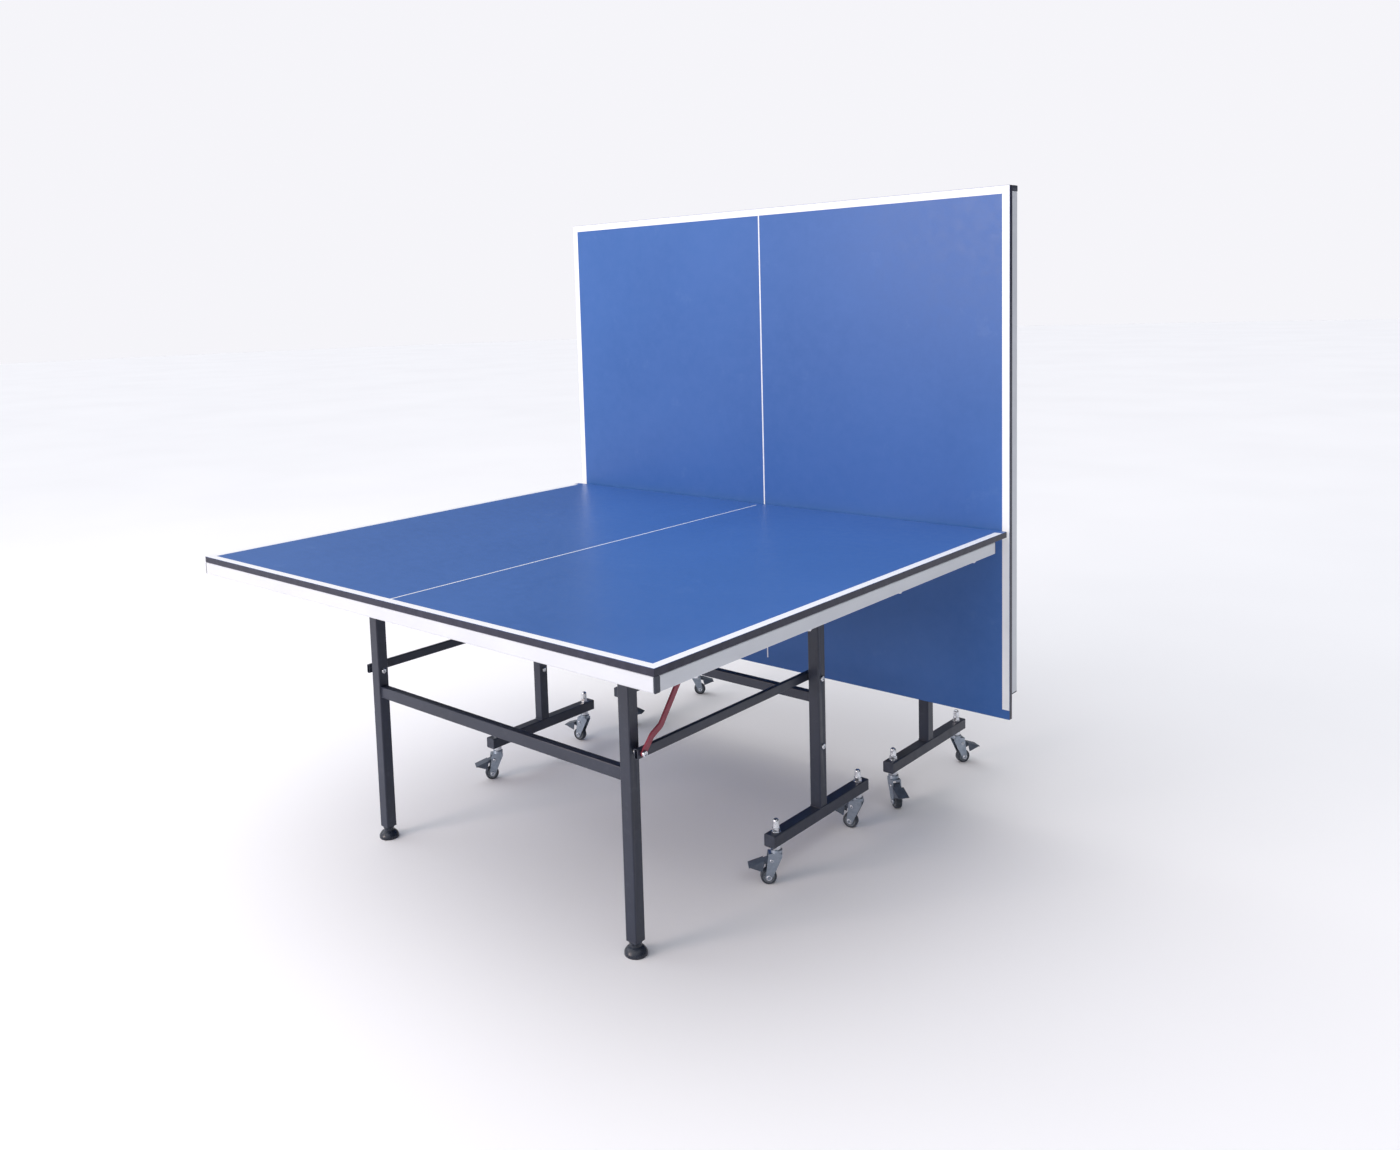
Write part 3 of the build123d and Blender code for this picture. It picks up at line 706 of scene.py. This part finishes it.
def frame_welds(half):
    """Beads where crossbars meet posts and legs, and where posts stand on the foot rails."""
    sign = 1 if half == "near" else -1
    plugs = shells(f"{half}_foot_rail_plugs")
    post_x = (plugs[-1][0].x + plugs[-1][1].x) / 2
    rail_top = plugs[-1][1].z
    pin = Vector(joints[f"{half}_top_fold"]["pos_m"])
    post_y = pin.y - sign * SET_BACK
    foot_low, foot_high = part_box(f"{half}_right_foot")
    leg_x = abs(foot_low.x + foot_high.x) / 2
    leg_pin = Vector(joints[f"{half}_leg_fold"]["pos_m"])
    leg_y = leg_pin.y - sign * SET_BACK
    post_loop = weld_loop(TUBE, TUBE, "post_weld")
    trolley_bar = weld_loop(TROLLEY_BAR[1], TROLLEY_BAR[0], "trolley_bar_weld")
    leg_bar = weld_loop(LEG_BAR[1], LEG_BAR[0], "leg_bar_weld")
    trolley = []
    legs = []
    for side in (-1, 1):
        trolley.append(copied(post_loop, Matrix.Translation((side * post_x, post_y, rail_top))))
        bar_end = Vector((side * (post_x - TUBE / 2), post_y, TROLLEY_BAR_LEVEL))
        trolley.append(copied(trolley_bar, Matrix.Translation(bar_end) @ Matrix.Rotation(pi / 2, 4, "Y")))
        bar_end = Vector((side * (leg_x - TUBE / 2), leg_y, leg_pin.z - pin.z + LEG_BAR_LEVEL))
        legs.append(copied(leg_bar, Matrix.Translation(bar_end) @ Matrix.Rotation(pi / 2, 4, "Y")))
    for master in (post_loop, trolley_bar, leg_bar):
        bpy.data.objects.remove(master)
    steel = finishes["frame_steel"]
    ride(joined(trolley, f"{half}_trolley_welds", steel), f"{half}_trolley")
    ride(joined(legs, f"{half}_leg_welds", steel), f"{half}_legs")


# Caster wheels and stems

def caps(piece, level):
    """Selects the flat end faces of an upright piece."""
    def at_level(face):
        return abs(face.normal.z) > 0.9 and abs(abs(face.center.z) - level) < TOUCH

    pick_faces(piece, at_level)


def both_rims(piece, level):
    """Selects the edges around both end faces of an upright piece."""
    pick_edges(piece, lambda a, b: abs(a.z - b.z) < TOUCH and abs(abs(a.z) - level) < TOUCH)


def opened(piece, level):
    """Cuts the end faces away and joins the two holes with a wall."""
    caps(piece, level)
    bpy.ops.mesh.delete(type="FACE")
    bpy.ops.mesh.select_mode(type="EDGE")
    bpy.ops.mesh.select_all(action="DESELECT")
    bpy.ops.mesh.select_non_manifold()
    bpy.ops.mesh.bridge_edge_loops()
    bpy.ops.mesh.select_all(action="SELECT")
    bpy.ops.mesh.normals_make_consistent(inside=False)
    leave_edit()


def caster_tyre():
    """Moulded tyre about z, with round shoulders and a shallow ring sunk into each side."""
    half_width = WHEEL_WIDTH / 2
    tyre = cylinder(WHEEL_RADIUS, WHEEL_WIDTH, -half_width, vertices=56)
    both_rims(tyre, half_width)
    bpy.ops.mesh.bevel(offset=TYRE_SHOULDER, segments=4, affect="EDGES")
    leave_edit()
    caps(tyre, half_width)
    bpy.ops.mesh.inset(thickness=1.2 * MM)
    bpy.ops.mesh.inset(thickness=0.6 * MM)
    sunk(TYRE_GROOVE)
    bpy.ops.mesh.inset(thickness=1.0 * MM)
    leave_edit()
    opened(tyre, half_width - TYRE_GROOVE)
    smooth(tyre, 50)
    return tyre


def caster_hub():
    """Wheel centre about z: a dished disc, a boss with a bore, a rim and six ribs on each side."""
    half_web = WHEEL_WIDTH / 2 - HUB_DISH
    inner = WHEEL_RADIUS - TYRE_DEPTH
    hub = cylinder(inner + 0.25 * MM, 2 * half_web, -half_web, vertices=48)
    caps(hub, half_web)
    bpy.ops.mesh.inset(thickness=HUB_RIM)
    leave_edit()
    pick_faces(hub, lambda face: abs(face.normal.z) > 0.9 and face.center.xy.length > inner / 2)
    sunk(-HUB_RIM_RISE)
    leave_edit()
    pick_faces(hub, lambda face: abs(face.normal.z) > 0.9 and face.center.xy.length < inner / 2)
    bpy.ops.mesh.inset(thickness=inner - HUB_RIM - HUB_BOSS)
    bpy.ops.mesh.inset(thickness=0.2 * MM)
    sunk(-HUB_DISH)
    bpy.ops.mesh.inset(thickness=0.5 * MM)
    sunk(BORE_LIP)
    bpy.ops.mesh.inset(thickness=HUB_BOSS - 0.7 * MM - AXLE_RADIUS - 0.1 * MM)
    leave_edit()
    opened(hub, half_web + HUB_DISH - BORE_LIP)
    smooth(hub, 40)
    pieces = [hub]
    deselect()
    rib_middle = ((HUB_BOSS + inner) / 2 - 0.3 * MM, 0, half_web + 0.7 * MM)
    bpy.ops.mesh.primitive_cube_add(size=1, location=rib_middle)
    rib = bpy.context.object
    rib.scale = (inner - HUB_BOSS, RIB_SIZE, RIB_SIZE)
    bake_place(rib)
    pick_edges(rib, lambda a, b: min(a.z, b.z) > half_web + 1 * MM and abs(a.x - b.x) > 1 * MM)
    bpy.ops.mesh.bevel(offset=0.5 * MM, segments=2, affect="EDGES")
    leave_edit()
    for flip in (0, pi):
        for step in range(RIB_COUNT):
            spoke = Matrix.Rotation(step * 2 * pi / RIB_COUNT, 4, "Z")
            turn = Matrix.Rotation(flip, 4, "X") @ spoke
            pieces.append(copied(rib, turn))
    bpy.data.objects.remove(rib)
    return joined(pieces, "caster_hub", finishes["hub_plastic"])


def caster_wheels():
    """A tyre and a hub for every wheel, modelled once and copied onto the axles."""
    tyre = caster_tyre()
    hub = caster_hub()
    for name, joint in joints.items():
        if not name.endswith("_wheel_spin"):
            continue
        caster = name.removesuffix("_wheel_spin")
        place = Matrix.Translation(joint["pos_m"]) @ along(joint["axis"])
        outer = named(copied(tyre, place), f"{caster}_tyre", finishes["tyre"])
        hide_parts(f"{caster}_wheel")
        ride(outer, joint["child"])
        centre = named(copied(hub, place), f"{caster}_hub", finishes["hub_plastic"])
        ride(centre, joint["child"])
    bpy.data.objects.remove(tyre)
    bpy.data.objects.remove(hub)


def axle_caps():
    """Domed caps pressed on the ends of each axle and of each pedal pin."""
    master_axle_cap = button_head(AXLE_CAP_RADIUS, CAP_HEIGHT)
    master_pin_cap = button_head(PEDAL_CAP_RADIUS, CAP_HEIGHT)
    for name, joint in joints.items():
        if not name.endswith("_swivel"):
            continue
        caster = name.removesuffix("_swivel")
        pieces = []
        for end, master in (("wheel_spin", master_axle_cap), ("brake", master_pin_cap)):
            pin = joints[f"{caster}_{end}"]
            axis = Vector(pin["axis"]).normalized()
            for way in (-1, 1):
                spot = Vector(pin["pos_m"]) + axis * way * (AXLE_HALF_LENGTH - CAP_OVERLAP)
                pieces.append(copied(master, Matrix.Translation(spot) @ along(axis * way)))
        ride(joined(pieces, f"{caster}_axle_caps", finishes["chrome"]), joint["child"])
    bpy.data.objects.remove(master_axle_cap)
    bpy.data.objects.remove(master_pin_cap)


def stem_washers(half):
    """Seat washers under the domed nuts."""
    pieces = []
    for low, high in shells(f"{half}_caster_stems"):
        width = high.x - low.x
        if width < NUT_WIDTH_MIN or high.z - low.z > NUT_HEIGHT_MAX:
            continue
        washer = cylinder(WASHER_RADIUS, WASHER_THICKNESS, 0, vertices=40)
        pick_edges(washer, lambda a, b: min(a.z, b.z) > WASHER_THICKNESS - TOUCH)
        bpy.ops.mesh.bevel(offset=0.4 * MM, segments=2, affect="EDGES")
        leave_edit()
        smooth(washer)
        middle = (low + high) / 2
        pieces.append(copied(washer, Matrix.Translation((middle.x, middle.y, low.z))))
        bpy.data.objects.remove(washer)
    ride(joined(pieces, f"{half}_stem_washers", finishes["chrome"]), f"{half}_trolley")


# Screws

def board_screws(half):
    """Flanged screws through the cross rails into the underside of the board."""
    pieces = []
    for low, high in shells(f"{half}_cross_rails"):
        middle = (low + high) / 2
        span = high.x - low.x
        for share in RAIL_SCREW_SHARES:
            if half == "near":
                spot = Vector((middle.x + share * span, middle.y, low.z))
                way = (0, 0, -1)
            else:
                spot = Vector((middle.x + share * span, high.y, middle.z))
                way = (0, 1, 0)
            pieces.append(copied(master_screw, Matrix.Translation(spot) @ along(way)))
    ride(joined(pieces, f"{half}_board_screws", finishes["chrome"]), f"{half}_top")


def apron_screws(half):
    """Flanged screws through the side aprons into the underside of the board."""
    pieces = []
    for low, high in shells(f"{half}_side_aprons"):
        middle = (low + high) / 2
        for share in APRON_SCREW_SHARES:
            if half == "near":
                spot = Vector((middle.x, middle.y + share * (high.y - low.y), low.z))
                way = (0, 0, -1)
            else:
                spot = Vector((middle.x, high.y, middle.z + share * (high.z - low.z)))
                way = (0, 1, 0)
            pieces.append(copied(master_screw, Matrix.Translation(spot) @ along(way)))
    ride(joined(pieces, f"{half}_apron_screws", finishes["chrome"]), f"{half}_top")


# Studio

def camera():
    """The camera, set at the net edge of the flat half and turned to the three-quarter view."""
    data = bpy.data.cameras.new("table_camera")
    data.lens = CAMERA_LENS
    data.sensor_width = 36
    data.shift_x, data.shift_y = CAMERA_SHIFT
    cam = bpy.data.objects.new("table_camera", data)
    bpy.context.scene.collection.objects.link(cam)
    net_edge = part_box("near_board")[1].y
    turn = Matrix.Rotation(CAMERA_HEADING, 4, "Z") @ Matrix.Rotation(pi / 2 - CAMERA_DOWN, 4, "X")
    turn = turn @ Matrix.Rotation(CAMERA_ROLL, 4, "Z")
    cam.matrix_world = Matrix.Translation(CAMERA_FROM_NET + Vector((0, net_edge, 0))) @ turn
    bpy.context.scene.camera = cam


def soft_light(name, place, aim, size, power, colour):
    """A soft rectangular light at a place, aimed at a point."""
    data = bpy.data.lights.new(name, "AREA")
    data.shape = "RECTANGLE"
    data.size, data.size_y = size
    data.energy = power
    data.color = colour
    light = bpy.data.objects.new(name, data)
    light.location = place
    light.rotation_euler = (Vector(aim) - Vector(place)).to_track_quat("-Z", "Y").to_euler()
    bpy.context.scene.collection.objects.link(light)


def pale_world():
    """Even white backdrop, and soft light that comes mostly from the front left and above."""
    world = bpy.data.worlds.new("pale_studio")
    world.use_nodes = True
    tree = world.node_tree
    lit = tree.nodes["Background"]
    lit.inputs["Color"].default_value = (0.96, 0.965, 1.0, 1)
    backdrop = tree.nodes.new("ShaderNodeBackground")
    backdrop.inputs["Color"].default_value = (0.965, 0.96, 1.0, 1)
    backdrop.inputs["Strength"].default_value = BACKDROP
    place = tree.nodes.new("ShaderNodeTexCoord")
    toward = tree.nodes.new("ShaderNodeVectorMath")
    toward.operation = "DOT_PRODUCT"
    toward.inputs[1].default_value = Vector(LIGHT_FROM).normalized()
    shade = tree.nodes.new("ShaderNodeMapRange")
    shade.interpolation_type = "SMOOTHSTEP"
    for socket, number in zip(("From Min", "From Max", "To Min", "To Max"), LIGHT_SPREAD):
        shade.inputs[socket].default_value = number
    seen = tree.nodes.new("ShaderNodeLightPath")
    either = tree.nodes.new("ShaderNodeMixShader")
    tree.links.new(place.outputs["Generated"], toward.inputs[0])
    tree.links.new(toward.outputs["Value"], shade.inputs["Value"])
    tree.links.new(shade.outputs["Result"], lit.inputs["Strength"])
    tree.links.new(seen.outputs["Is Camera Ray"], either.inputs["Fac"])
    tree.links.new(lit.outputs["Background"], either.inputs[1])
    tree.links.new(backdrop.outputs["Background"], either.inputs[2])
    tree.links.new(either.outputs["Shader"], tree.nodes["World Output"].inputs["Surface"])
    return world


def studio():
    """Floor, backdrop and soft lights around the table."""
    deselect()
    bpy.ops.mesh.primitive_circle_add(vertices=96, radius=40, fill_type="NGON", location=(0, 0, 0))
    floor = named(bpy.context.object, "studio_floor", pale_floor())
    bpy.context.scene.world = pale_world()
    soft_light("window_softbox", place=(-2.07, -6.0, 2.27), aim=(0.2, 0.5, 1.0),
               size=(2.0, 1.6), power=150, colour=(1.0, 0.82, 0.74))
    soft_light("left_softbox", place=(-4.2, -2.0, 3.0), aim=(0, 0, 0.6),
               size=(2.6, 2.2), power=15, colour=(0.95, 0.98, 1.0))
    bpy.context.scene.view_settings.view_transform = "Standard"


# How wide the live bevel on a CAD node's edges is, by its material; the boards keep sharp edges
EASE = {
    "blue_board": 0.0,
    "white_steel": 0.3 * MM,
    "frame_steel": 0.3 * MM,
    "black_plastic": 0.6 * MM,
    "chrome": 0.6 * MM,
    "zinc_steel": 0.4 * MM,
    "tyre": 0.5 * MM,
    "grey_plastic": 0.6 * MM,
    "foot_rubber": 0.5 * MM,
    "red_steel": 0.8 * MM,
}

camera()
master_head = button_head(HEAD_RADIUS, HEAD_HEIGHT)
master_nut = hex_nut(HEAD_RADIUS * 1.05, HEAD_HEIGHT)
master_screw = flange_screw(SCREW_RADIUS, SCREW_HEIGHT)
for node, piece in nodes.items():
    piece.data.materials.clear()
    piece.data.materials.append(finish_for(node))
    width = EASE[slots[node]]
    if width > 0:
        eased(node, width)
for half in ("near", "far"):
    court_lines(half)
    bolt_set(half, "trolley_bolts", f"{half}_trolley")
    bolt_set(half, "leg_bolts", f"{half}_legs")
    frame_welds(half)
    stem_washers(half)
    board_screws(half)
    apron_screws(half)
caster_wheels()
axle_caps()
for master in (master_head, master_nut, master_screw):
    bpy.data.objects.remove(master)
studio()

deselect()
